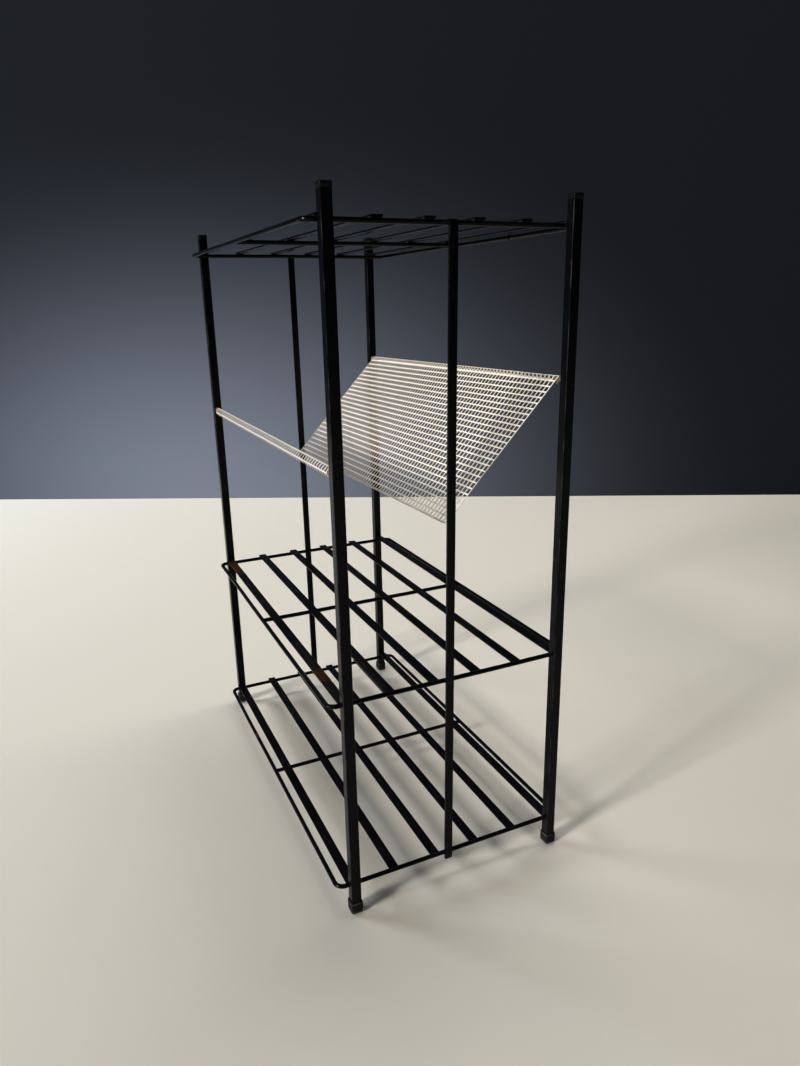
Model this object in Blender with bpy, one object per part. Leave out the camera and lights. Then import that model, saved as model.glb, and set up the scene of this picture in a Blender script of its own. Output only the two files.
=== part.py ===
"""A wire newspaper rack: four square posts, three wire shelves with flat slats, and a V-shaped
sheet tray whose lips hook over four pins. X runs along the rack, Y across it, Z up; metres."""

import math

import bmesh
import bpy
from mathutils import Vector

# Where the posts stand, centre to centre, and how tall the rack is.
POST_SPAN_X = 0.462
POST_SPAN_Y = 0.228
HEIGHT = 0.660

# Clearance between neighbours that touch on the real rack.
GAP = 0.0003

# Square tube posts.
POST_SIDE = 0.010
POST_WALL = 0.0012
POST_CORNER = 0.001

# Push-in caps on top of the posts.
CAP_SIDE = 0.0106
CAP_HEAD = 0.005
CAP_EDGE = 0.0013
CAP_PLUG = 0.012
CAP_PLUG_SIDE = POST_SIDE - 2 * POST_WALL - 2 * GAP

# Square rubber boots under the posts.
BOOT_SIDE = 0.0122
BOOT_HEIGHT = 0.0125
BOOT_FLOOR = 0.003
BOOT_EDGE = 0.0026

# Shelf wires: one closed loop and one cross wire per shelf.
WIRE_RADIUS = 0.00225
WIRE_OVERHANG_Y = 0.015
WIRE_BEND = 0.008
SHELVES = {"bottom": 0.0255, "middle": 0.2235, "top": 0.6345}
CROSS_WIRE_X = {"bottom": 0.006, "middle": 0.0, "top": 0.0}

# Flat slats lying on the wires.
SLATS = 6
SLAT_PITCH = 0.0462
SLAT_WIDTH = 0.010
SLAT_THICK = 0.002

# Flat upright bars halfway along each end.
BAR_WIDTH = 0.008
BAR_THICK = 0.003
BAR_LOW = 0.0205
BAR_HIGH = 0.6368
BAR_SHIFT_Y = {"left": 0.0006, "right": -0.0058}
BAR_LEAN_Y = {"left": -0.0009, "right": 0.0054}

# Pins on the inner faces of the posts.
PIN_RADIUS = 0.002
PIN_LENGTH = 0.0155
PIN_COLLAR_RADIUS = 0.0034
PIN_COLLAR = 0.0015
PIN_HEIGHT_FRONT = 0.4403
PIN_HEIGHT_BACK = 0.4996

# Folded sheet tray. The tilt is how much each line of it climbs from left to right.
TRAY_LENGTH = 0.438
TRAY_THICK = 0.0005
TRAY_LIP = 0.0058
TRAY_LIP_OUT = math.radians(43)
TRAY_TOE = 0.0046
TRAY_TOE_IN = math.radians(20)
TRAY_BEND_RADIUS = 0.0013
TRAY_FOLD_Y = -0.007
TRAY_FOLD_HEIGHT = 0.3818
TRAY_FOLD_RADIUS = 0.0045
TRAY_TILT = {"front": 0.001, "back": 0.012}

FRONT_BACK = {"front": -1, "back": 1}
LEFT_RIGHT = {"left": -1, "right": 1}


def clear_scene():
    for obj in list(bpy.data.objects):
        bpy.data.objects.remove(obj)


def material(name, color, metallic, roughness):
    made = bpy.data.materials.new(name)
    made.use_nodes = True
    shader = made.node_tree.nodes["Principled BSDF"]
    shader.inputs["Base Color"].default_value = (*color, 1)
    shader.inputs["Metallic"].default_value = metallic
    shader.inputs["Roughness"].default_value = roughness
    return made


def place(name, data, look, location=(0, 0, 0)):
    obj = bpy.data.objects.new(name, data)
    obj.location = location
    data.materials.append(look)
    bpy.context.scene.collection.objects.link(obj)
    return obj


def square_ring(side, corner, z, steps=4):
    """The points of a rounded square lying flat at height z."""
    points = []
    reach = side / 2 - corner
    for quarter in range(4):
        turn = quarter * math.pi / 2
        centre = Vector((reach, reach, 0))
        for step in range(steps + 1):
            angle = step * math.pi / 2 / steps
            point = centre + corner * Vector((math.cos(angle), math.sin(angle), 0))
            x = point.x * math.cos(turn) - point.y * math.sin(turn)
            y = point.x * math.sin(turn) + point.y * math.cos(turn)
            points.append(Vector((x, y, z)))
    return points


def round_ring(radius, x, sides=24):
    """The points of a circle square to X at distance x."""
    turns = [2 * math.pi * side / sides for side in range(sides)]
    return [Vector((x, radius * math.cos(turn), radius * math.sin(turn))) for turn in turns]


def skin(name, rings, closed=False):
    """A solid whose surface runs from ring to ring, back to the first one or capped at both ends."""
    shape = bmesh.new()
    loops = [[shape.verts.new(point) for point in ring] for ring in rings]
    pairs = list(zip(loops, loops[1:]))
    if closed:
        pairs.append((loops[-1], loops[0]))
    else:
        shape.faces.new(loops[0])
        shape.faces.new(loops[-1])
    for low, high in pairs:
        for here in range(len(low)):
            there = (here + 1) % len(low)
            shape.faces.new((low[here], low[there], high[there], high[here]))
    bmesh.ops.recalc_face_normals(shape, faces=shape.faces)
    mesh = bpy.data.meshes.new(name)
    shape.to_mesh(mesh)
    shape.free()
    return mesh


def rounded_steps(reach, steps=4):
    """How far in and how far up a rounded edge of this radius runs, from its widest to its end."""
    for step in range(1, steps + 1):
        angle = step * math.pi / 2 / steps
        yield reach * (1 - math.cos(angle)), reach * math.sin(angle)


def post_mesh(name):
    low = BOOT_FLOOR + GAP
    high = HEIGHT - CAP_HEAD - GAP
    inner = POST_SIDE - 2 * POST_WALL
    rings = [
        square_ring(POST_SIDE, POST_CORNER, low),
        square_ring(POST_SIDE, POST_CORNER, high),
        square_ring(inner, POST_CORNER / 2, high),
        square_ring(inner, POST_CORNER / 2, low),
    ]
    return skin(name, rings, closed=True)


def cap_mesh(name):
    """A square plug with a wider head whose upper edge is rounded; its origin is under the head."""
    lead = 0.0008
    rings = [
        square_ring(CAP_PLUG_SIDE - 2 * lead, 0.0003, -CAP_PLUG),
        square_ring(CAP_PLUG_SIDE, 0.0005, lead - CAP_PLUG),
        square_ring(CAP_PLUG_SIDE, 0.0005, 0),
        square_ring(CAP_SIDE, 0.0014, 0),
        square_ring(CAP_SIDE, 0.0014, CAP_HEAD - CAP_EDGE),
    ]
    for inward, upward in rounded_steps(CAP_EDGE):
        corner = max(0.0014 - inward, 0.0004)
        rings.append(square_ring(CAP_SIDE - 2 * inward, corner, CAP_HEAD - CAP_EDGE + upward))
    return skin(name, rings)


def boot_mesh(name):
    """A square boot with a rounded sole and a square socket; its origin is on the floor."""
    rings = []
    for inward, downward in reversed(list(rounded_steps(BOOT_EDGE))):
        rings.append(square_ring(BOOT_SIDE - 2 * inward, 0.0016, BOOT_EDGE - downward))
    rings.append(square_ring(BOOT_SIDE, 0.0018, BOOT_EDGE))
    rings.append(square_ring(BOOT_SIDE, 0.0018, BOOT_HEIGHT - 0.0003))
    rings.append(square_ring(BOOT_SIDE - 0.0005, 0.0016, BOOT_HEIGHT))
    socket = POST_SIDE + 2 * GAP
    rings.append(square_ring(socket, POST_CORNER + GAP, BOOT_HEIGHT))
    rings.append(square_ring(socket, POST_CORNER + GAP, BOOT_FLOOR))
    return skin(name, rings)


def pin_mesh(name):
    """A round pin with a collar against the post, lying along +X from its seat."""
    tip = 0.0008
    profile = [
        (PIN_COLLAR_RADIUS, 0),
        (PIN_COLLAR_RADIUS, PIN_COLLAR),
        (PIN_RADIUS, PIN_COLLAR),
        (PIN_RADIUS, PIN_LENGTH - tip),
        (PIN_RADIUS - 0.3 * tip, PIN_LENGTH - 0.3 * tip),
        (PIN_RADIUS - tip, PIN_LENGTH),
    ]
    return skin(name, [round_ring(radius, x) for radius, x in profile])


def box_mesh(name, size):
    shape = bmesh.new()
    bmesh.ops.create_cube(shape, size=1)
    bmesh.ops.scale(shape, vec=Vector(size), verts=shape.verts)
    mesh = bpy.data.meshes.new(name)
    shape.to_mesh(mesh)
    shape.free()
    return mesh


def ease_edges(obj, width):
    bevel = obj.modifiers.new("eased edges", "BEVEL")
    bevel.width = width
    bevel.segments = 2
    bevel.limit_method = "ANGLE"


def loop_points(half_x, half_y, bend, steps=6):
    """A flat rectangle with bent corners."""
    points = []
    for quarter, (sign_x, sign_y) in enumerate(((1, 1), (-1, 1), (-1, -1), (1, -1))):
        centre = Vector((sign_x * (half_x - bend), sign_y * (half_y - bend), 0))
        for step in range(steps + 1):
            angle = (quarter + step / steps) * math.pi / 2
            points.append(centre + bend * Vector((math.cos(angle), math.sin(angle), 0)))
    return points


def wire_curve(name, points):
    curve = bpy.data.curves.new(name, "CURVE")
    curve.dimensions = "3D"
    curve.twist_mode = "Z_UP"
    curve.bevel_depth = WIRE_RADIUS
    curve.bevel_resolution = 4
    spline = curve.splines.new("POLY")
    spline.points.add(len(points) - 1)
    for slot, point in zip(spline.points, points):
        slot.co = (*point, 1)
    spline.use_cyclic_u = True
    spline.use_smooth = True
    return curve


def end_wire_x():
    """How far out the end wires lie, against the inner faces of the posts."""
    return POST_SPAN_X / 2 - POST_SIDE / 2 - GAP - WIRE_RADIUS


def side_wire_y():
    return POST_SPAN_Y / 2 + WIRE_OVERHANG_Y


def build_posts(steel, plastic, rubber):
    for depth, sign_y in FRONT_BACK.items():
        for side, sign_x in LEFT_RIGHT.items():
            x = sign_x * POST_SPAN_X / 2
            y = sign_y * POST_SPAN_Y / 2
            corner = f"{depth}_{side}"
            place(f"post_{corner}", post_mesh("post"), steel, (x, y, 0))
            place(f"cap_{corner}", cap_mesh("cap"), plastic, (x, y, HEIGHT - CAP_HEAD))
            place(f"foot_{corner}", boot_mesh("foot"), rubber, (x, y, 0))


def build_shelf(level, z, steel):
    reach_x = end_wire_x()
    reach_y = side_wire_y()
    loop = wire_curve("loop", loop_points(reach_x, reach_y, WIRE_BEND))
    place(f"wire_loop_{level}", loop, steel, (0, 0, z))

    half = reach_y - WIRE_RADIUS - GAP
    rod = skin("cross", [round_ring(WIRE_RADIUS, -half, 16), round_ring(WIRE_RADIUS, half, 16)])
    cross = place(f"cross_wire_{level}", rod, steel, (CROSS_WIRE_X[level], 0, z))
    cross.rotation_euler.z = math.pi / 2

    length = 2 * (POST_SPAN_X / 2 - POST_SIDE / 2 - GAP)
    rise = WIRE_RADIUS + GAP + SLAT_THICK / 2
    for slat in range(SLATS):
        y = (slat - (SLATS - 1) / 2) * SLAT_PITCH
        flat = box_mesh("slat", (length, SLAT_WIDTH, SLAT_THICK))
        obj = place(f"slat_{level}_{slat + 1}", flat, steel, (0, y, z + rise))
        ease_edges(obj, 0.0004)


def build_bars(steel):
    """The upright flats stand against the outer side of the end wires, a little out of plumb."""
    x = end_wire_x() + WIRE_RADIUS + GAP + BAR_THICK / 2
    height = BAR_HIGH - BAR_LOW
    for side, sign_x in LEFT_RIGHT.items():
        flat = box_mesh("bar", (BAR_THICK, BAR_WIDTH, height))
        where = (sign_x * x, BAR_SHIFT_Y[side], BAR_LOW + height / 2)
        obj = place(f"bar_{side}", flat, steel, where)
        obj.rotation_euler.x = -math.asin(BAR_LEAN_Y[side] / height)
        ease_edges(obj, 0.0004)


def build_pins(steel):
    """The back right pin sits higher than the back left one, so the tray slopes along its length."""
    heights = {"front": PIN_HEIGHT_FRONT, "back": PIN_HEIGHT_BACK}
    seat = POST_SPAN_X / 2 - POST_SIDE / 2 - GAP
    for depth, sign_y in FRONT_BACK.items():
        for side, sign_x in LEFT_RIGHT.items():
            y = sign_y * POST_SPAN_Y / 2
            where = (sign_x * seat, y, heights[depth] + sign_x * TRAY_TILT[depth] * TRAY_LENGTH / 2)
            pin = place(f"pin_{depth}_{side}", pin_mesh("pin"), steel, where)
            pin.rotation_euler.z = math.pi if sign_x > 0 else 0


def arc(centre, radius, start, end, steps):
    """Points (y, z) round a centre from one angle to another."""
    for step in range(steps + 1):
        angle = start + (end - start) * step / steps
        yield centre[0] + radius * math.cos(angle), centre[1] + radius * math.sin(angle)


def wing_angle(pin, fold, clear):
    """The slope of a straight wing that passes just over a pin and touches the fold's arc."""
    run = abs(fold[0] - pin[0])
    drop = pin[1] - fold[1]
    between = math.hypot(run, drop)
    return math.atan2(drop, run) + math.asin((clear + TRAY_FOLD_RADIUS) / between)


def corner(one, other, reach):
    """How far two lines' crossing lies from a centre that both pass at this reach, on the sides that
    their normals point to."""
    return reach * (one + other) / (1 + one.dot(other))


def lip(pin, side, slope, clear):
    """The middle line of one lip as (y, z), from its toe up to the wing: it leaves the ridge over
    the pin outwards and down, and bends back in at the nose."""
    across = Vector((-side * math.sin(slope), math.cos(slope)))
    outer = Vector((side * math.cos(TRAY_LIP_OUT), math.sin(TRAY_LIP_OUT)))
    toe = Vector((side * math.cos(TRAY_TOE_IN), -math.sin(TRAY_TOE_IN)))
    ridge = Vector(pin) + corner(across, outer, clear)
    nose = ridge + TRAY_LIP * Vector((side * math.sin(TRAY_LIP_OUT), -math.cos(TRAY_LIP_OUT)))
    points = [nose + TRAY_TOE * Vector((-side * math.sin(TRAY_TOE_IN), -math.cos(TRAY_TOE_IN)))]
    for point, one, other in ((nose, toe, outer), (ridge, outer, across)):
        centre = point - corner(one, other, TRAY_BEND_RADIUS)
        start = math.atan2(one.y, side * one.x)
        end = math.atan2(other.y, side * other.x)
        for y, z in arc((0, 0), TRAY_BEND_RADIUS, start, end, 5):
            points.append(centre + Vector((side * y, z)))
    return points


def tray_section():
    """The middle line of the sheet as (y, z): front lip, front wing, fold, back wing, back lip."""
    clear = PIN_RADIUS + GAP + TRAY_THICK / 2
    fold = (TRAY_FOLD_Y, TRAY_FOLD_HEIGHT)
    front_pin = (-POST_SPAN_Y / 2, PIN_HEIGHT_FRONT)
    back_pin = (POST_SPAN_Y / 2, PIN_HEIGHT_BACK)
    front_slope = wing_angle(front_pin, fold, clear)
    back_slope = wing_angle(back_pin, fold, clear)
    down = -math.pi / 2
    points = lip(front_pin, -1, front_slope, clear)
    points.extend(arc(fold, TRAY_FOLD_RADIUS, down - front_slope, down + back_slope, 8))
    points.extend(reversed(lip(back_pin, 1, back_slope, clear)))
    return points


def tilt_at(y):
    """The sheet is twisted a little: it climbs less at its front ridge than behind its fold."""
    front_ridge = -POST_SPAN_Y / 2
    share = max(0, (TRAY_FOLD_Y - y) / (TRAY_FOLD_Y - front_ridge))
    return TRAY_TILT["back"] + (TRAY_TILT["front"] - TRAY_TILT["back"]) * share


def build_tray(lacquer):
    shape = bmesh.new()
    ends = []
    for x in (-TRAY_LENGTH / 2, TRAY_LENGTH / 2):
        ends.append([shape.verts.new((x, y, z + tilt_at(y) * x)) for y, z in tray_section()])
    for here in range(len(ends[0]) - 1):
        there = here + 1
        shape.faces.new((ends[0][here], ends[1][here], ends[1][there], ends[0][there]))
    mesh = bpy.data.meshes.new("tray")
    shape.to_mesh(mesh)
    shape.free()
    sheet = place("tray", mesh, lacquer)
    thick = sheet.modifiers.new("sheet thickness", "SOLIDIFY")
    thick.thickness = TRAY_THICK
    thick.offset = 0
    thick.use_even_offset = True


def build():
    clear_scene()
    black = material("black_lacquer", (0.012, 0.012, 0.014), 0.0, 0.38)
    plastic = material("black_plastic", (0.018, 0.018, 0.018), 0.0, 0.5)
    rubber = material("black_rubber", (0.022, 0.022, 0.022), 0.0, 0.75)
    bare = material("worn_steel", (0.16, 0.09, 0.055), 0.8, 0.5)
    cream = material("cream_lacquer", (0.62, 0.55, 0.42), 0.0, 0.45)
    build_posts(black, plastic, rubber)
    for level, z in SHELVES.items():
        build_shelf(level, z, black)
    build_bars(black)
    build_pins(bare)
    build_tray(cream)


build()
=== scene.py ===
import math

import bmesh
import bpy
from mathutils import Matrix, Vector


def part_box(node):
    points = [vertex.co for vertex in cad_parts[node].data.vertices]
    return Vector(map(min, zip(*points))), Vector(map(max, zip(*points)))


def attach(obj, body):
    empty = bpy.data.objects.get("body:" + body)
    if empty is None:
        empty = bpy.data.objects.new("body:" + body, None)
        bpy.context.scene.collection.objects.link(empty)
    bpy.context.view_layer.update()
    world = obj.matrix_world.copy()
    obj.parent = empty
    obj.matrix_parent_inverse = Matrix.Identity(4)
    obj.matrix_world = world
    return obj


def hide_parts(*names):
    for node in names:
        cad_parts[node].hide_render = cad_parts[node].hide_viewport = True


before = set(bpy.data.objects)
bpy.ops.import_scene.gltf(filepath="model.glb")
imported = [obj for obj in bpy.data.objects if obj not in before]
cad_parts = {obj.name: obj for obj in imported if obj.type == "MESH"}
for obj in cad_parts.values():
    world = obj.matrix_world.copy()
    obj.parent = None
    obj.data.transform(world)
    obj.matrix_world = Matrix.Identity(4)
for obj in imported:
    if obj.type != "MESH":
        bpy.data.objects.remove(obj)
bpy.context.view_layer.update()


# ---------------------------------------------------------------------------------------------
# The four posts are 10 mm square steel tube, sprayed with black lacquer and stoved. The lacquer
# has a faint orange peel; it is scuffed along the tube, chipped on the arrises and freckled with
# rust where the steel has come through.

class Reading:
    """A node's output. Used in an expression, it adds Math nodes to the recipe that it is in."""

    def __init__(self, recipe, socket):
        self.recipe = recipe
        self.socket = socket

    def maths(self, operation, *values):
        return self.recipe.node("ShaderNodeMath", {"operation": operation}, dict(enumerate(values)))

    def __add__(self, other):
        return self.maths("ADD", self, other)

    __radd__ = __add__

    def __sub__(self, other):
        return self.maths("SUBTRACT", self, other)

    def __rsub__(self, other):
        return self.maths("SUBTRACT", other, self)

    def __mul__(self, other):
        return self.maths("MULTIPLY", self, other)

    __rmul__ = __mul__

    def __truediv__(self, other):
        return self.maths("DIVIDE", self, other)

    def __abs__(self):
        return self.maths("ABSOLUTE", self)

    def __gt__(self, other):
        return self.maths("GREATER_THAN", self, other)

    def __lt__(self, other):
        return self.maths("LESS_THAN", self, other)

    def larger(self, other):
        return self.maths("MAXIMUM", self, other)

    def smaller(self, other):
        return self.maths("MINIMUM", self, other)

    def rise(self, low, high):
        """0 below low, 1 above high and an eased step between them; high may be the lower one."""
        return self.recipe.node(
            "ShaderNodeMapRange",
            {"interpolation_type": "SMOOTHSTEP"},
            {"Value": self, "From Min": low, "From Max": high, "To Min": 0.0, "To Max": 1.0},
        )


class Recipe:
    """A node tree and the one way of adding a node to it."""

    def __init__(self, tree):
        self.tree = tree

    def node(self, kind, settings=None, sockets=None, output=0):
        made = self.tree.nodes.new(kind)
        for name, value in (settings or {}).items():
            setattr(made, name, value)
        for name, value in (sockets or {}).items():
            self.plug(made.inputs[name], value)
        return Reading(self, made.outputs[output])

    def plug(self, socket, value):
        if isinstance(value, Reading):
            self.tree.links.new(value.socket, socket)
        else:
            socket.default_value = value

    def split(self, vector):
        """The x, y and z of a vector."""
        parts = self.node("ShaderNodeSeparateXYZ", None, {0: vector})
        return [Reading(self, output) for output in parts.socket.node.outputs]


class Finish(Recipe):
    """A paint, rubber or metal, read over the object's own coordinates in metres."""

    def __init__(self, name):
        self.material = bpy.data.materials.new(name)
        self.material.use_nodes = True
        super().__init__(self.material.node_tree)
        self.shader = self.tree.nodes["Principled BSDF"]
        self.place = self.node("ShaderNodeTexCoord", output="Object")
        self.faces = self.node("ShaderNodeTexCoord", output="Normal")

    def vector(self, operation, *values, output=0):
        settings = {"operation": operation}
        return self.node("ShaderNodeVectorMath", settings, dict(enumerate(values)), output)

    def grain(self, size, detail=2.0, stretch=(1, 1, 1), start=0.0):
        """Noise from 0 to 1 whose lumps are about `size` metres across, longer where stretched."""
        pitch = tuple(1 / (size * part) for part in stretch)
        spot = self.vector("MULTIPLY_ADD", self.place, pitch, (start, start + 3.7, start + 8.1))
        return self.node(
            "ShaderNodeTexNoise", None, {"Vector": spot, "Scale": 1.0, "Detail": detail, "Roughness": 0.55}
        )

    def near(self, point, reach):
        """1 at a point, falling to 0 at `reach` metres from it."""
        gap = self.vector("DISTANCE", self.place, point, output="Value")
        return gap.rise(reach, reach * 0.15)

    def blend(self, share, under, over):
        colours = [c if isinstance(c, Reading) else (*c, 1.0) for c in (under, over)]
        return self.node(
            "ShaderNodeMix",
            {"data_type": "RGBA"},
            {0: share, 6: colours[0], 7: colours[1]},
            output=2,
        )

    def wear_the(self, colour, roughness, height, depth, shine=0.5):
        """Colour, gloss and relief put on the shader; `depth` is what a height of 1 stands for."""
        self.plug(self.shader.inputs["Base Color"], colour)
        self.plug(self.shader.inputs["Roughness"], roughness)
        relief = self.node("ShaderNodeBump", None, {"Strength": 1.0, "Distance": depth, "Height": height})
        self.plug(self.shader.inputs["Normal"], relief)
        self.shader.inputs["Specular IOR Level"].default_value = shine
        return self.material


def black_lacquer(name, along, spots, arris=None, dusty=0.0):
    """Stoved black lacquer. `along` stretches the scuffs the way the steel runs, `spots` holds the
    middle and reach of each patch of rust, `arris` reads how near an edge is, and `dusty` is how
    much dust lies on what faces up."""
    paint = Finish(name)
    peel = paint.grain(0.0011, 1.0)
    flow = paint.grain(0.014, 2.0, along)
    cloud = paint.grain(0.055, 3.0, start=5.0)
    pits = paint.grain(0.0022, 3.0, start=11.0)
    patches = paint.grain(0.03, 4.0, start=17.0)

    long_way = tuple(1 + 30 * (part > 1) for part in along)
    scuffs = paint.grain(0.0005, 1.0, long_way, start=23.0).rise(0.64, 0.72) * cloud.rise(0.48, 0.66)
    freckles = pits.rise(0.68, 0.73) * patches.rise(0.50, 0.62)
    rust = freckles
    for point, reach in spots:
        rust = rust.larger((paint.near(point, reach) * (pits + patches)).rise(0.10, 0.95))
    if arris is not None:
        rubbed = (arris(paint) * (0.35 + patches)).rise(0.76, 0.92)
        scuffs = scuffs.larger(rubbed * 0.8)
        rust = rust.larger(rubbed * pits.rise(0.56, 0.62))
    *_, up = paint.split(paint.faces)
    dust = up.rise(0.55, 0.95) * (0.35 + 0.65 * patches.rise(0.35, 0.7)) * dusty

    colour = paint.blend(cloud, (0.0010, 0.0010, 0.0018), (0.0034, 0.0034, 0.0048))
    colour = paint.blend(dust, colour, (0.30, 0.28, 0.25))
    colour = paint.blend(scuffs * 0.22, colour, (0.14, 0.135, 0.135))
    colour = paint.blend(rust, colour, paint.blend(pits, (0.008, 0.004, 0.003), (0.068, 0.026, 0.014)))
    gloss = 0.17 + 0.10 * cloud + 0.12 * scuffs + 0.50 * rust + 0.35 * dust
    height = 0.05 * peel + 0.22 * flow + 0.40 * rust * pits - 0.06 * scuffs
    return paint.wear_the(colour, gloss, height, 0.0004, shine=0.15)


def repaint(node, material):
    """A CAD node whose shape is right keeps it, and takes this finish."""
    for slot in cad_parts[node].material_slots:
        slot.material = material


CORNERS = ("front_left", "front_right", "back_left", "back_right")
POST_CHIPS = [((0.2265, -0.1190, 0.292), 0.007), ((0.2260, -0.1190, 0.455), 0.005)]
post_low, post_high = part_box("post_front_right")
POST_X, POST_Y = (post_low.x + post_high.x) / 2, -(post_low.y + post_high.y) / 2
POST_HALF = (post_high.x - post_low.x) / 2


def post_arris(paint):
    """1 on the corners of the square tubes, which stand alike about the middle of the rack."""
    x, y, _ = paint.split(paint.place)
    return (abs(abs(x) - POST_X) + abs(abs(y) - POST_Y)).rise(1.72 * POST_HALF, 1.90 * POST_HALF)


post_paint = black_lacquer("post_lacquer", (1, 1, 6), POST_CHIPS, post_arris)
for corner in CORNERS:
    repaint(f"post_{corner}", post_paint)


# ---------------------------------------------------------------------------------------------
# The caps are square plugs moulded in black plastic and pushed into the tops of the posts. Their
# heads stand just proud of the tube, with rounded edges and a fine moulded grain.

ROUND_BELOW = math.radians(38)


def dressed(node, name, material):
    """A CAD node's shape with its loose triangles joined and its round faces shaded smooth."""
    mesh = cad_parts[node].data.copy()
    mesh.name = name
    body = bmesh.new()
    body.from_mesh(mesh)
    bmesh.ops.remove_doubles(body, verts=body.verts, dist=1e-6)
    body.to_mesh(mesh)
    body.free()
    mesh.shade_smooth()
    mesh.set_sharp_from_angle(angle=ROUND_BELOW)
    mesh.materials.clear()
    mesh.materials.append(material)
    piece = bpy.data.objects.new(name, mesh)
    bpy.context.scene.collection.objects.link(piece)
    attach(piece, "stand")
    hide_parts(node)
    return piece


def moulded_plastic():
    plastic = Finish("cap_plastic")
    texture = plastic.grain(0.0004, 2.0)
    wear = plastic.grain(0.004, 3.0, start=4.0)
    *_, up = plastic.split(plastic.faces)
    dust = up.rise(0.6, 0.95) * wear.rise(0.45, 0.70)
    colour = plastic.blend(wear, (0.0016, 0.0016, 0.0022), (0.0050, 0.0050, 0.0058))
    colour = plastic.blend(dust * 0.08, colour, (0.30, 0.28, 0.25))
    gloss = 0.42 + 0.16 * wear + 0.2 * dust
    return plastic.wear_the(colour, gloss, texture * 0.3 + wear * 0.5, 0.0002, shine=0.15)


cap_plastic = moulded_plastic()
for corner in CORNERS:
    dressed(f"cap_{corner}", f"plug_cap_{corner}", cap_plastic)


# ---------------------------------------------------------------------------------------------
# The feet are square boots moulded in black rubber and pushed over the ends of the posts. The
# rubber is matt, rounded off at the sole, and pale with dust along its upper rim.

def moulded_rubber():
    rubber = Finish("boot_rubber")
    skin = rubber.grain(0.0006, 2.0)
    smears = rubber.grain(0.005, 3.0, (1, 1, 0.6), start=6.0)
    _, _, high = rubber.split(rubber.place)
    rim = high.rise(0.0100, 0.0124) * smears.rise(0.32, 0.60)
    sole = high.rise(0.0050, 0.0010)
    colour = rubber.blend(smears, (0.0050, 0.0050, 0.0055), (0.0130, 0.0125, 0.0120))
    colour = rubber.blend((rim * 0.16).larger(sole * 0.20), colour, (0.34, 0.32, 0.29))
    gloss = 0.62 + 0.2 * smears
    return rubber.wear_the(colour, gloss, skin * 0.4 + smears * 0.6, 0.0003, shine=0.2)


boot_rubber = moulded_rubber()
for corner in CORNERS:
    dressed(f"foot_{corner}", f"boot_{corner}", boot_rubber)


# ---------------------------------------------------------------------------------------------
# Each shelf hangs on one loop of 4.5 mm wire bent at its four corners, and one cross wire
# welded between its long sides. The drawn wire isn't quite straight. Both are lacquered black.

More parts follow.
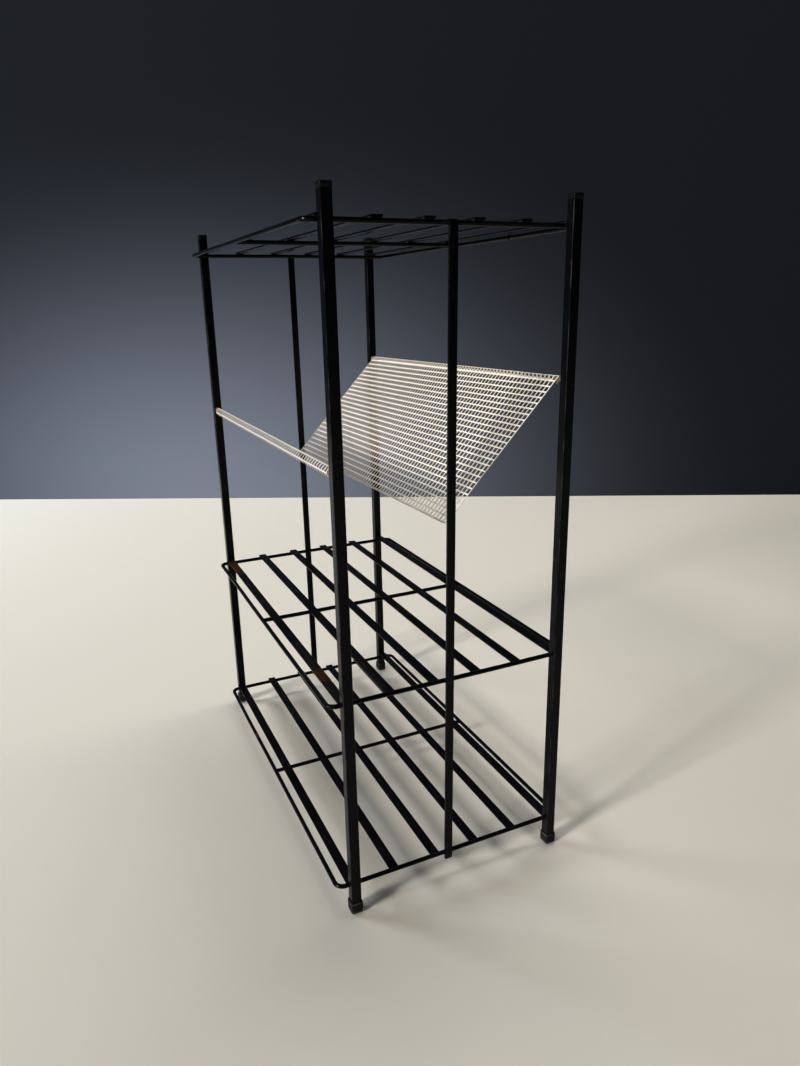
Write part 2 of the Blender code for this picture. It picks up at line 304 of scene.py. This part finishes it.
class Jig(Recipe):
    """A Geometry Nodes tree with named sizes, run once to make a plain mesh."""

    KINDS = {float: "NodeSocketFloat", int: "NodeSocketInt", tuple: "NodeSocketVector",
             bpy.types.Object: "NodeSocketObject", bpy.types.Material: "NodeSocketMaterial"}

    def __init__(self, name, **sizes):
        super().__init__(bpy.data.node_groups.new(name, "GeometryNodeTree"))
        face = self.tree.interface
        face.new_socket("Geometry", in_out="INPUT", socket_type="NodeSocketGeometry")
        face.new_socket("Geometry", in_out="OUTPUT", socket_type="NodeSocketGeometry")
        self.sizes = sizes
        self.sockets = {}
        for size, value in sizes.items():
            label = size.replace("_", " ").title()
            kind = self.KINDS[type(value)]
            self.sockets[size] = face.new_socket(label, in_out="INPUT", socket_type=kind).identifier
        self.inlet = self.tree.nodes.new("NodeGroupInput")
        self.outlet = self.tree.nodes.new("NodeGroupOutput")

    def size(self, name):
        found = [s for s in self.inlet.outputs if s.identifier == self.sockets[name]]
        return Reading(self, found[0])

    def given(self):
        """The geometry of the object that the jig is run on."""
        return Reading(self, self.inlet.outputs["Geometry"])

    def xyz(self, x=0.0, y=0.0, z=0.0):
        return self.node("ShaderNodeCombineXYZ", None, {"X": x, "Y": y, "Z": z})

    def where(self):
        """The x, y and z of each point."""
        return self.split(self.node("GeometryNodeInputPosition"))

    def unevenness(self, size, amount, seed):
        """A small push, `amount` at most, that changes over about `size` metres."""
        noise = self.node(
            "ShaderNodeTexNoise",
            {"noise_dimensions": "4D"},
            {"Scale": 1 / size, "W": seed, "Detail": 1.0},
            output="Color",
        )
        centred = self.node("ShaderNodeVectorMath", {"operation": "SUBTRACT"}, {0: noise, 1: (0.5,) * 3})
        return self.node("ShaderNodeVectorMath", {"operation": "SCALE"}, {0: centred, "Scale": amount})

    def tube(self, path, radius, sides=12):
        ring = self.node(
            "GeometryNodeCurvePrimitiveCircle", {"mode": "RADIUS"}, {"Resolution": sides, "Radius": radius}
        )
        return self.node(
            "GeometryNodeCurveToMesh", None, {"Curve": path, "Profile Curve": ring, "Fill Caps": True}
        )

    def join(self, *parts):
        joined = self.tree.nodes.new("GeometryNodeJoinGeometry")
        for part in parts:
            self.tree.links.new(part.socket, joined.inputs[0])
        return Reading(self, joined.outputs[0])

    def run(self, name, shape, nodes, body, slot, smooth_below=35, start_mesh=None):
        """Runs the jig, and hands over the mesh it makes as one piece that stands for `nodes`."""
        realized = self.node("GeometryNodeRealizeInstances", None, {0: shape})
        painted = self.node(
            "GeometryNodeSetMaterial", None, {"Geometry": realized, "Material": self.size("finish")}
        )
        self.tree.links.new(painted.socket, self.outlet.inputs[0])
        blank = bpy.data.objects.new(name + "_blank", start_mesh or bpy.data.meshes.new(name + "_blank"))
        bpy.context.scene.collection.objects.link(blank)
        modifier = blank.modifiers.new(self.tree.name, "NODES")
        modifier.node_group = self.tree
        for size, value in self.sizes.items():
            modifier[self.sockets[size]] = value
        made = blank.evaluated_get(bpy.context.evaluated_depsgraph_get())
        mesh = bpy.data.meshes.new_from_object(made)
        mesh.name = name
        bpy.data.objects.remove(blank)
        mesh.shade_smooth()
        mesh.set_sharp_from_angle(angle=math.radians(smooth_below))
        piece = bpy.data.objects.new(name, mesh)
        bpy.context.scene.collection.objects.link(piece)
        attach(piece, body)
        if nodes:
            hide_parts(*nodes)
        return piece


LEVELS = ("bottom", "middle", "top")
WIRE_CHIPS = [((-0.0800, -0.1290, 0.0255), 0.008)]
WIRE_BEND = 0.008
WIRE_BEND_STEPS = 8
WIRE_STEP = 0.003
WIRE_WAVE = 0.12
wire_low, wire_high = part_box("wire_loop_middle")
WIRE = (wire_high.z - wire_low.z) / 2
LOOP = (wire_high - wire_low) / 2 - Vector((WIRE, WIRE, WIRE))

wire_paint = black_lacquer("wire_lacquer", (1, 1, 1), WIRE_CHIPS, dusty=0.012)
shelf_height = {}
cross_x = {}
for seed, level in enumerate(LEVELS):
    low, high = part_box(f"wire_loop_{level}")
    shelf_height[level] = (low.z + high.z) / 2
    cross_low, cross_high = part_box(f"cross_wire_{level}")
    cross_x[level] = (cross_low.x + cross_high.x) / 2
    jig = Jig(
        f"wire_bender_{level}",
        length=2 * LOOP.x,
        width=2 * LOOP.y,
        bend_radius=WIRE_BEND,
        wire_radius=WIRE,
        height=shelf_height[level],
        cross_wire=cross_x[level],
        cross_reach=cross_high.y,
        unevenness=0.0009,
        seed=float(seed),
        finish=wire_paint,
    )
    loop = jig.node(
        "GeometryNodeCurvePrimitiveQuadrilateral",
        {"mode": "RECTANGLE"},
        {"Width": jig.size("length"), "Height": jig.size("width")},
    )
    bends = {"Curve": loop, "Radius": jig.size("bend_radius"), "Count": WIRE_BEND_STEPS}
    bends["Limit Radius"] = True
    loop = jig.node("GeometryNodeFilletCurve", {"mode": "POLY"}, bends)
    across, reach = jig.size("cross_wire"), jig.size("cross_reach")
    cross = jig.node(
        "GeometryNodeCurvePrimitiveLine",
        {"mode": "POINTS"},
        {"Start": jig.xyz(across, reach * -1), "End": jig.xyz(across, reach)},
    )
    wires = {"Curve": jig.join(loop, cross), "Length": WIRE_STEP}
    wires = jig.node("GeometryNodeResampleCurve", {"mode": "LENGTH"}, wires)
    push = jig.unevenness(WIRE_WAVE, jig.size("unevenness"), jig.size("seed"))
    wires = jig.node("GeometryNodeSetPosition", None, {"Geometry": wires, "Offset": push})
    wires = jig.tube(wires, jig.size("wire_radius"))
    lifted = {0: wires, "Translation": jig.xyz(z=jig.size("height"))}
    wires = jig.node("GeometryNodeTransform", None, lifted)
    nodes = [f"wire_loop_{level}", f"cross_wire_{level}"]
    jig.run(f"shelf_wires_{level}", wires, nodes, "stand", "black_lacquer")


# ---------------------------------------------------------------------------------------------
# Six flat slats of 10 by 2 mm strip, its edges rolled round, lie along each shelf on its short
# wires and its cross wire. They aren't dead straight, and dust and rust gather on them.

SLATS = 6
SLAT_STEPS = 60
SLAT_EDGE_STEPS = 4
SLAT_WAVE = 0.16
SLAT_RUST = [((-0.185, -0.1120, 0.228), 0.044), ((0.168, -0.1120, 0.228), 0.024)]
slat_low, slat_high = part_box("slat_middle_1")
SLAT = slat_high - slat_low
slat_paint = black_lacquer("slat_lacquer", (6, 1, 1), SLAT_RUST, dusty=0.012)
for seed, level in enumerate(LEVELS):
    first_low, first_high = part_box(f"slat_{level}_1")
    last_low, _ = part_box(f"slat_{level}_{SLATS}")
    jig = Jig(
        f"slat_layer_{level}",
        slats=SLATS,
        first_slat=(0.0, (first_low.y + first_high.y) / 2, (first_low.z + first_high.z) / 2),
        pitch=(last_low.y - first_low.y) / (SLATS - 1),
        length=SLAT.x,
        width=SLAT.y,
        thickness=SLAT.z,
        rolled_edge=0.00065,
        unevenness=0.0007,
        seed=10.0 + seed,
        finish=slat_paint,
    )
    half = jig.size("length") / 2
    run_x = jig.node(
        "GeometryNodeCurvePrimitiveLine",
        {"mode": "POINTS"},
        {"Start": jig.xyz(half * -1), "End": jig.xyz(half)},
    )
    rows = jig.node(
        "GeometryNodeMeshLine",
        {"mode": "OFFSET"},
        {
            "Count": jig.size("slats"),
            "Start Location": jig.size("first_slat"),
            "Offset": jig.xyz(y=jig.size("pitch")),
        },
    )
    laid = jig.node("GeometryNodeInstanceOnPoints", None, {"Points": rows, "Instance": run_x})
    laid = jig.node("GeometryNodeRealizeInstances", None, {0: laid})
    laid = jig.node("GeometryNodeResampleCurve", {"mode": "COUNT"}, {"Curve": laid, "Count": SLAT_STEPS})
    x, _, _ = jig.where()
    held = 1 - abs(x / half) * abs(x / half)
    push = jig.unevenness(SLAT_WAVE, jig.size("unevenness") * held, jig.size("seed"))
    laid = jig.node("GeometryNodeSetPosition", None, {"Geometry": laid, "Offset": push})
    laid = jig.node("GeometryNodeSetCurveNormal", {"mode": "Z_UP"}, {"Curve": laid})
    strip = jig.node(
        "GeometryNodeCurvePrimitiveQuadrilateral",
        {"mode": "RECTANGLE"},
        {"Width": jig.size("width"), "Height": jig.size("thickness")},
    )
    edges = {"Curve": strip, "Radius": jig.size("rolled_edge"), "Count": SLAT_EDGE_STEPS}
    edges["Limit Radius"] = True
    strip = jig.node("GeometryNodeFilletCurve", {"mode": "POLY"}, edges)
    slats = jig.node(
        "GeometryNodeCurveToMesh", None, {"Curve": laid, "Profile Curve": strip, "Fill Caps": True}
    )
    nodes = [f"slat_{level}_{number}" for number in range(1, SLATS + 1)]
    jig.run(f"slats_{level}", slats, nodes, "stand", "black_lacquer")


# ---------------------------------------------------------------------------------------------
# A flat bar of 8 by 3 mm stands about halfway along each short end, not quite upright, welded
# to the outer side of the three end wires. It has the posts' lacquer, scuffed along its length.

bar_paint = black_lacquer("bar_lacquer", (1, 1, 6), [])
for side in ("left", "right"):
    repaint(f"bar_{side}", bar_paint)


# ---------------------------------------------------------------------------------------------
# The wires, slats, bars and posts are welded wherever they cross, and lacquered afterwards. Each
# weld is a small uneven bead that fills the corner between the two. One more closes each loop.

BEAD_GAP = 0.00015
SLAT_END_BEAD = (0.0028, 0.0046, 0.0010)
SLAT_MIDDLE_BEAD = (0.0030, 0.0046, 0.0010)
CROSS_WIRE_BEAD = (0.0029, 0.0012, 0.0024)
POST_BEAD = (0.0010, 0.0048, 0.0030)
BAR_BEAD = (0.0009, 0.0040, 0.0027)
LOOP_JOINT_BEAD = (0.0012, 0.0027, 0.0027)
LOOP_JOINT_X = 0.105
BEAD_WAVE = 0.003

inner_x = POST_X - POST_HALF - BEAD_GAP
beads = []
for level in LEVELS:
    z = shelf_height[level]
    slat_seat = z + WIRE + BEAD_GAP
    for number in range(1, SLATS + 1):
        low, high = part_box(f"slat_{level}_{number}")
        y = (low.y + high.y) / 2
        beads.append(((cross_x[level], y, slat_seat), SLAT_MIDDLE_BEAD))
        for end in (-1, 1):
            beads.append(((end * LOOP.x, y, slat_seat), SLAT_END_BEAD))
    for end in (-1, 1):
        beads.append(((cross_x[level], end * (LOOP.y - WIRE), z), CROSS_WIRE_BEAD))
        for depth in (-1, 1):
            beads.append(((end * inner_x, depth * POST_Y, z), POST_BEAD))
    for end, side in ((-1, "left"), (1, "right")):
        low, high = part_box(f"bar_{side}")
        beads.append(((end * inner_x, (low.y + high.y) / 2, z), BAR_BEAD))
    beads.append(((LOOP_JOINT_X, LOOP.y, z), LOOP_JOINT_BEAD))

bead_spots = bpy.data.meshes.new("bead_spots")
bead_spots.from_pydata([spot for spot, _ in beads], [], [])
sizes = bead_spots.attributes.new("half_size", "FLOAT_VECTOR", "POINT")
sizes.data.foreach_set("vector", [part for _, half_size in beads for part in half_size])

bead_paint = black_lacquer("bead_lacquer", (1, 1, 1), [])
jig = Jig("bead_layer", unevenness=0.0011, seed=21.0, finish=bead_paint)
bead = jig.node("GeometryNodeMeshIcoSphere", None, {"Radius": 1.0, "Subdivisions": 3})
half_size = jig.node(
    "GeometryNodeInputNamedAttribute", {"data_type": "FLOAT_VECTOR"}, {"Name": "half_size"}
)
laid = jig.node(
    "GeometryNodeInstanceOnPoints", None, {"Points": jig.given(), "Instance": bead, "Scale": half_size}
)
laid = jig.node("GeometryNodeRealizeInstances", None, {0: laid})
push = jig.unevenness(BEAD_WAVE, jig.size("unevenness"), jig.size("seed"))
laid = jig.node("GeometryNodeSetPosition", None, {"Geometry": laid, "Offset": push})
jig.run("weld_beads", laid, [], "stand", "black_lacquer", smooth_below=80, start_mesh=bead_spots)


# ---------------------------------------------------------------------------------------------
# Four short steel pins stick out of the inner faces of the posts, with a collar of weld round
# each. The tray rests on them, and has rubbed their lacquer through to rusty steel.

def rusty_steel():
    steel = Finish("pin_steel")
    pits = steel.grain(0.0008, 3.0)
    patches = steel.grain(0.004, 3.0, start=3.0)
    bare = patches.rise(0.46, 0.58)
    rust = steel.blend(pits, (0.075, 0.024, 0.011), (0.33, 0.125, 0.05))
    colour = steel.blend(bare, rust, (0.34, 0.31, 0.28))
    steel.plug(steel.shader.inputs["Metallic"], bare * 0.9)
    return steel.wear_the(colour, 0.85 - 0.45 * bare + 0.1 * pits, pits - 0.3 * bare, 0.0003)


pin_steel = rusty_steel()
for corner in CORNERS:
    dressed(f"pin_{corner}", f"tray_pin_{corner}", pin_steel)


# ---------------------------------------------------------------------------------------------
# The tray is one steel sheet, punched all over with square holes, folded into a V and hooked
# over the pins by its two lips. It is sprayed cream; the holes run through the folds, and the
# lips' edges end halfway through a row of them, so they are left as a comb of short teeth.

ROWS, COLUMNS = 48, 67
WEB_ALONG = 0.00070
WEB_ACROSS = 0.00060
HOLE_CORNER = 0.0004
SHEET_THICK = 0.0005
LIP, LIP_OUT = 0.0058, math.radians(43)
TOE, TOE_IN = 0.0046, math.radians(20)
WORN_EDGE = 0.012
MERGE_WITHIN = 2e-5
TRAY_WAVE = 0.14
BEND_RADIUS = 0.0013
FOLD = Vector((-0.007, 0.3818))
FOLD_RADIUS = 0.0045
FOLD_STEPS, BEND_STEPS = 16, 8
PIN_RADIUS, PIN_GAP = 0.0020, 0.0003
CLEAR = PIN_RADIUS + PIN_GAP + SHEET_THICK / 2
tray_low, tray_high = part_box("tray")
tray_half = (tray_high.x - tray_low.x) / 2
pin_spots = {corner: sum(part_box(f"pin_{corner}"), Vector()) / 2 for corner in CORNERS}
front_pin = (pin_spots["front_left"] + pin_spots["front_right"]).yz / 2
back_pin = (pin_spots["back_left"] + pin_spots["back_right"]).yz / 2
front_tilt = (pin_spots["front_right"].z - pin_spots["front_left"].z) / (2 * tray_half)
back_tilt = (pin_spots["back_right"].z - pin_spots["back_left"].z) / (2 * tray_half)


def turn(centre, radius, start, end, steps):
    for step in range(steps + 1):
        angle = start + (end - start) * step / steps
        yield centre + radius * Vector((math.cos(angle), math.sin(angle)))


def wing_slope(pin):
    """The slope of a wing that passes just over a pin and meets the round of the fold."""
    run, drop = abs(FOLD.x - pin.x), pin.y - FOLD.y
    return math.atan2(drop, run) + math.asin((CLEAR + FOLD_RADIUS) / math.hypot(run, drop))


def crossing(one, other, reach):
    """How far two lines' crossing lies from a centre that both pass at this reach, on the sides that
    their normals point to."""
    return reach * (one + other) / (1 + one.dot(other))


def lip(pin, side):
    """One lip's middle line, from its toe up to the wing: it leaves the ridge over the pin outwards
    and down, and bends back in at the nose."""
    slope = wing_slope(pin)
    across = Vector((-side * math.sin(slope), math.cos(slope)))
    outer = Vector((side * math.cos(LIP_OUT), math.sin(LIP_OUT)))
    toe = Vector((side * math.cos(TOE_IN), -math.sin(TOE_IN)))
    ridge = pin + crossing(across, outer, CLEAR)
    nose = ridge + LIP * Vector((side * math.sin(LIP_OUT), -math.cos(LIP_OUT)))
    points = [nose + TOE * Vector((-side * math.sin(TOE_IN), -math.cos(TOE_IN)))]
    for point, one, other in ((nose, toe, outer), (ridge, outer, across)):
        centre = point - crossing(one, other, BEND_RADIUS)
        start, end = math.atan2(one.y, side * one.x), math.atan2(other.y, side * other.x)
        for spot in turn(Vector((0, 0)), BEND_RADIUS, start, end, BEND_STEPS):
            points.append(centre + Vector((side * spot.x, spot.y)))
    return points


def tray_section():
    """The folded sheet's middle line from the front lip's toe to the back one's, as (y, z)."""
    front, back, down = wing_slope(front_pin), wing_slope(back_pin), -math.pi / 2
    points = lip(front_pin, -1)
    points.extend(turn(FOLD, FOLD_RADIUS, down - front, down + back, FOLD_STEPS))
    points.extend(reversed(lip(back_pin, 1)))
    return points


section = tray_section()
fold_middle = len(lip(front_pin, -1)) + FOLD_STEPS // 2
steps = [(b - a).length for a, b in zip(section, section[1:])]
sheet_run = sum(steps)
PITCH_ALONG = (2 * tray_half - 2 * WEB_ACROSS) / (COLUMNS - 1)
PITCH_ACROSS = sheet_run / ROWS
section_curve = bpy.data.curves.new("tray_section", "CURVE")
section_curve.dimensions = "3D"
line = section_curve.splines.new("POLY")
line.points.add(len(section) - 1)
for point, (y, z) in zip(line.points, section):
    point.co = (0, y, z, 1)
section_object = bpy.data.objects.new("tray_section", section_curve)


def web_cell(name, split):
    """The cross of steel between four holes, drawn from its top to its bottom in lines across the
    sheet. A cell for a bend has its webs split in two, so that they follow the bend."""
    half_x, half_s = PITCH_ALONG / 2, PITCH_ACROSS / 2
    shape = bmesh.new()

    def line(s, *reach):
        return [shape.verts.new((x, s, 0)) for x in sorted((*reach, *(-x for x in reach)))]

    def fill(one, other):
        low, high = sorted((one, other), key=lambda points: points[0].co.y)
        shape.faces.new([*low, *reversed(high)])

    webs = []
    for way in (-1, 1):
        cleft = WEB_ALONG + HOLE_CORNER
        arm = [line(way * half_s, WEB_ACROSS), line(way * cleft, WEB_ACROSS)]
        if split:
            arm.insert(1, line(way * (half_s + cleft) / 2, WEB_ACROSS))
        for one, other in zip(arm, arm[1:]):
            fill(one, other)
        webs.append(line(way * WEB_ALONG, WEB_ACROSS + HOLE_CORNER, half_x))
        fill(arm[-1], webs[-1][1:3])
    if split:
        webs.insert(1, line(0, half_x))
    for one, other in zip(webs, webs[1:]):
        fill(one, other)
    mesh = bpy.data.meshes.new(name)
    shape.to_mesh(mesh)
    shape.free()
    return bpy.data.objects.new(name, mesh)


def cream_lacquer():
    paint = Finish("cream_lacquer")
    peel = paint.grain(0.0010, 1.0)
    flow = paint.grain(0.012, 2.0)
    stains = paint.grain(0.06, 4.0, start=7.0)
    pits = paint.grain(0.0016, 3.0, start=12.0)
    run = paint.node("ShaderNodeAttribute", {"attribute_name": "sheet_run"}, output="Fac")
    edge = abs(run - sheet_run / 2).rise(sheet_run / 2 - WORN_EDGE, sheet_run / 2)
    worn = (edge * 0.42 + pits * 0.55).rise(0.66, 0.84)
    chips = pits.rise(0.72, 0.76) * stains.rise(0.50, 0.66)
    colour = paint.blend(stains, (0.560, 0.515, 0.450), (0.480, 0.430, 0.360))
    rust = paint.blend(peel, (0.10, 0.040, 0.018), (0.26, 0.12, 0.055))
    colour = paint.blend(worn.larger(chips) * 0.85, colour, rust)
    gloss = 0.34 + 0.12 * stains + 0.35 * worn
    return paint.wear_the(colour, gloss, 0.05 * peel + 0.2 * flow - 0.3 * chips, 0.0003)


cream = cream_lacquer()
jig = Jig(
    "tray_press",
    columns=COLUMNS,
    rows=ROWS,
    pitch_along=PITCH_ALONG,
    pitch_across=PITCH_ACROSS,
    half_length=tray_half,
    thickness=SHEET_THICK,
    ridge_run=2 * PITCH_ACROSS,
    fold_run=sum(steps[:fold_middle]),
    fold_half=0.008,
    front_tilt=front_tilt,
    back_tilt=back_tilt,
    fold_y=FOLD.x,
    front_y=front_pin.x,
    unevenness=0.0005,
    seed=31.0,
    section=section_object,
    flat_cell=web_cell("flat_cell", False),
    bent_cell=web_cell("bent_cell", True),
    finish=cream,
)
sheet_half = jig.size("rows") * jig.size("pitch_across") / 2
grid = jig.node(
    "GeometryNodeMeshGrid",
    None,
    {
        "Size X": (jig.size("columns") - 1) * jig.size("pitch_along"),
        "Size Y": (jig.size("rows") - 1) * jig.size("pitch_across"),
        "Vertices X": jig.size("columns"),
        "Vertices Y": jig.size("rows"),
    },
)
_, s, _ = jig.where()
run = s + sheet_half
in_ridge = abs(s) > sheet_half - jig.size("ridge_run")
in_fold = abs(run - jig.size("fold_run")) < jig.size("fold_half")
cells = []
for cell in ("bent_cell", "flat_cell"):
    held = {"Object": jig.size(cell), "As Instance": True}
    cells.append(jig.node("GeometryNodeObjectInfo", None, held, output="Geometry"))
cells = jig.join(*cells)
punched = jig.node(
    "GeometryNodeInstanceOnPoints",
    None,
    {"Points": grid, "Instance": cells, "Pick Instance": True, "Instance Index": in_ridge.larger(in_fold)},
)
punched = jig.node("GeometryNodeRealizeInstances", None, {0: punched})
x, s, n = jig.where()
limit = jig.size("half_length")
trimmed = jig.xyz(x.smaller(limit).larger(limit * -1), s, n)
punched = jig.node("GeometryNodeSetPosition", None, {"Geometry": punched, "Position": trimmed})
punched = jig.node("GeometryNodeMergeByDistance", None, {"Geometry": punched, "Distance": MERGE_WITHIN})
raised = jig.node(
    "GeometryNodeExtrudeMesh",
    {"mode": "FACES"},
    {"Mesh": punched, "Offset Scale": jig.size("thickness"), "Individual": False},
)
under = jig.node("GeometryNodeFlipFaces", None, {"Mesh": punched})
sides = {"Geometry": jig.join(raised, under), "Distance": MERGE_WITHIN}
solid = jig.node("GeometryNodeMergeByDistance", None, sides)
x, s, n = jig.where()
run = s + sheet_half
solid = jig.node(
    "GeometryNodeStoreNamedAttribute",
    {"data_type": "FLOAT", "domain": "POINT"},
    {"Geometry": solid, "Name": "sheet_run", "Value": run},
)
path = jig.node("GeometryNodeObjectInfo", None, {"Object": jig.size("section")}, output="Geometry")
follow = {"Curves": path, "Factor": run / (2 * sheet_half)}
sampled = {"mode": "FACTOR", "use_all_curves": True}
spot = jig.node("GeometryNodeSampleCurve", sampled, follow, output="Position")
_, spot_y, spot_z = jig.split(spot)
_, way_y, way_z = jig.split(Reading(jig, spot.socket.node.outputs["Tangent"]))
off = n - jig.size("thickness") / 2
twist = ((jig.size("fold_y") - spot_y) / (jig.size("fold_y") - jig.size("front_y"))).larger(0.0)
climb = jig.size("back_tilt") + (jig.size("front_tilt") - jig.size("back_tilt")) * twist
folded = jig.xyz(x, spot_y - way_z * off, spot_z + way_y * off + x * climb)
solid = jig.node("GeometryNodeSetPosition", None, {"Geometry": solid, "Position": folded})
push = jig.unevenness(TRAY_WAVE, jig.size("unevenness"), jig.size("seed"))
solid = jig.node("GeometryNodeSetPosition", None, {"Geometry": solid, "Offset": push})
jig.run("tray_sheet", solid, ["tray"], "tray", "cream_lacquer")


# ---------------------------------------------------------------------------------------------
# The rack stands on a plain pale floor before a dark wall, whose colour has a pool of paler light
# painted low on its left, fading to painted shade on the right. Low light comes from a far window
# on its front side, and two soft panels lift the floor on its left.

def plain(name, colour, roughness):
    made = bpy.data.materials.new(name)
    made.use_nodes = True
    shader = made.node_tree.nodes["Principled BSDF"]
    shader.inputs["Base Color"].default_value = (*colour, 1)
    shader.inputs["Roughness"].default_value = roughness
    return made


def panel(name, corners, material):
    mesh = bpy.data.meshes.new(name)
    mesh.from_pydata(corners, [], [(0, 1, 2, 3)])
    mesh.materials.append(material)
    made = bpy.data.objects.new(name, mesh)
    bpy.context.scene.collection.objects.link(made)


def soft_light(name, at, towards, size, watts, colour):
    lamp = bpy.data.lights.new(name, "AREA")
    lamp.shape = "RECTANGLE"
    lamp.size, lamp.size_y = size
    lamp.energy = watts
    lamp.color = colour
    made = bpy.data.objects.new(name, lamp)
    made.location = at
    made.rotation_euler = (Vector(towards) - Vector(at)).to_track_quat("-Z", "Y").to_euler()
    bpy.context.scene.collection.objects.link(made)
    return made


FLOOR_HALF = 7.0
WALL_FOOT = Vector((-1.258, 0.625, 0))
WALL_WAY = Vector((1.141, 2.163, 0)).normalized()
WALL_HALF, WALL_HEIGHT = 5.0, 3.4
floor_corners = [(x * FLOOR_HALF, y * FLOOR_HALF, 0) for x, y in ((-1, -1), (1, -1), (1, 1), (-1, 1))]
panel("floor", floor_corners, plain("pale_floor", (0.490, 0.458, 0.405), 0.8))


def wall_with_painted_light():
    """Near black, with a pool of paler, bluer light painted low on the left that fades to painted shade
    away from it.
    """
    wall = Finish("dark_wall")
    painted_light_x, half_x, half_z = -1.52, 0.38, 0.54
    reach, fall = 2.25, 1.6
    scale = (1 / half_x, 0, 1 / half_z)
    spot = wall.vector("MULTIPLY_ADD", wall.place, scale, (-painted_light_x / half_x, 0, 0))
    # Painted light: a pool of paler, bluer light painted into the wall's colour low on the left, fading to
    # painted shade towards the right and top.
    painted_light = wall.vector("LENGTH", spot, output="Value").rise(reach, 0.0)
    colour = wall.blend(painted_light.maths("POWER", painted_light, fall), (0.0075, 0.0092, 0.0138), (0.150, 0.165, 0.205))
    return wall.wear_the(colour, 0.9, 0.0, 0.0, shine=0.2)


wall_top = Vector((0, 0, WALL_HEIGHT))
one_end, other_end = (WALL_FOOT + way * WALL_HALF * WALL_WAY for way in (-1, 1))
panel("wall", [one_end, other_end, other_end + wall_top, one_end + wall_top], wall_with_painted_light())

soft_light("window", (4.3, -17.8, 6.3), (0, 0, 0.3), (3.0, 2.6), 6000, (1.0, 0.985, 0.955))
overhead = soft_light("overhead", (-1.4, 1.2, 3.3), (-1.0, 0.9, 0), (2.4, 1.8), 340, (1.0, 0.985, 0.96))
wash = soft_light("left_wash", (-2.3, -2.6, 1.5), (-1.0, -0.2, 0.0), (1.2, 0.8), 130, (0.76, 0.88, 1.0))
overhead.visible_glossy = wash.visible_glossy = False

world = bpy.data.worlds.new("room")
world.use_nodes = True
world.node_tree.nodes["Background"].inputs["Color"].default_value = (0.22, 0.24, 0.27, 1)
world.node_tree.nodes["Background"].inputs["Strength"].default_value = 0.10
bpy.context.scene.world = world
bpy.context.scene.view_settings.view_transform = "Standard"
bpy.context.scene.view_settings.gamma = 0.82


# ---------------------------------------------------------------------------------------------
# The camera stands off the rack's right-hand end, towards its front, a little higher than the
# tray and lower than the top shelf. It looks slightly down and is held with a slight roll.

CAMERA_AT = (0.8052, -0.3202, 0.5727)
FRAME_HEIGHT, FOCAL_LENGTH = 1066, 757.1
yaw, pitch, roll = math.radians(65.435), math.radians(16.885), math.radians(-1.152)
look = Vector((-math.sin(yaw) * math.cos(pitch), math.cos(yaw) * math.cos(pitch), -math.sin(pitch)))
level_right = Vector((math.cos(yaw), math.sin(yaw), 0))
level_up = level_right.cross(look)
right = math.cos(roll) * level_right + math.sin(roll) * level_up
above = right.cross(look)
lens = bpy.data.cameras.new("camera")
lens.sensor_width = 36
lens.lens = lens.sensor_width * FOCAL_LENGTH / FRAME_HEIGHT
camera = bpy.data.objects.new("camera", lens)
turned = Matrix((right, above, -look)).transposed().to_4x4()
camera.matrix_world = Matrix.Translation(CAMERA_AT) @ turned
bpy.context.scene.collection.objects.link(camera)
bpy.context.scene.camera = camera
